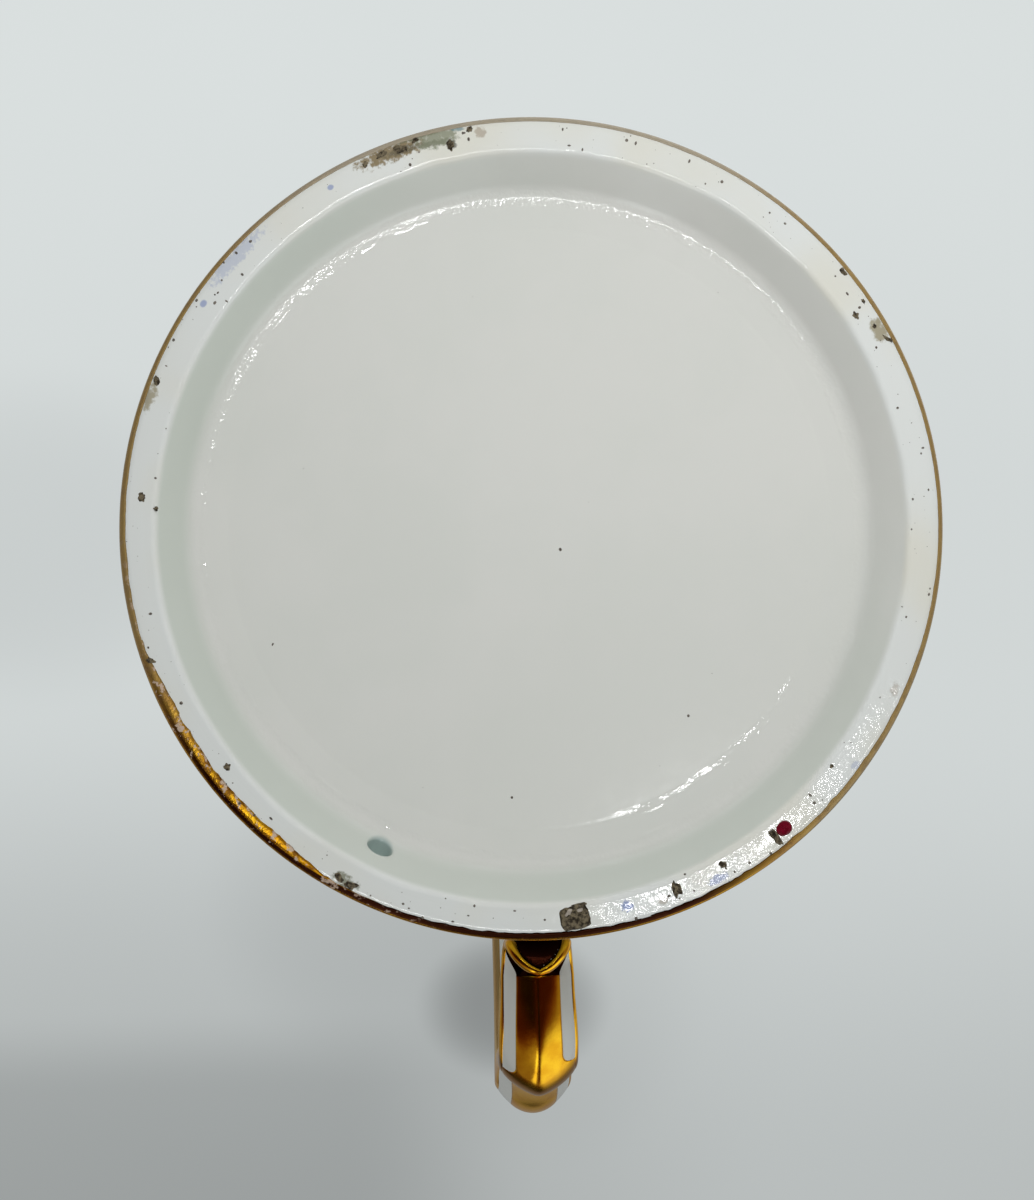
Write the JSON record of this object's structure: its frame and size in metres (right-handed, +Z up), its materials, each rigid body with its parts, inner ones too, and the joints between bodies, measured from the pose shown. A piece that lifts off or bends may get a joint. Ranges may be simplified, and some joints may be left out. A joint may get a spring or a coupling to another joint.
{
  "type": "cup",
  "caption": "Straight-sided porcelain coffee cup with a recessed foot, a ridged ear-shaped strap handle with a pointed tail, and gilt lines on lip, foot and handle.",
  "frame": {"origin": "middle of the standing ring, in the plane the cup stands on", "axes": "+Z up the cup's axis to the lip, +X from the axis through the middle of the handle"},
  "size_m": [0.0783, 0.0622, 0.0611],
  "materials": {
    "porcelain": "glossy glaze, faintly blue-grey, with kiln specks on the standing ring",
    "slip": "glossy glaze pooled in the corner of the joint",
    "gilding": "burnished fired gold, worn brown on the foot"
  },
  "bodies": {
    "root": {"cup_body": "porcelain", "handle": "porcelain", "upper_slip_joint": "slip", "lower_slip_joint": "slip", "gilt_rim_line": "gilding", "gilt_foot_line": "gilding", "gilt_handle_band": "gilding", "gilt_handle_edges": "gilding", "gilt_tail": "gilding"}
  },
  "joints": []
}
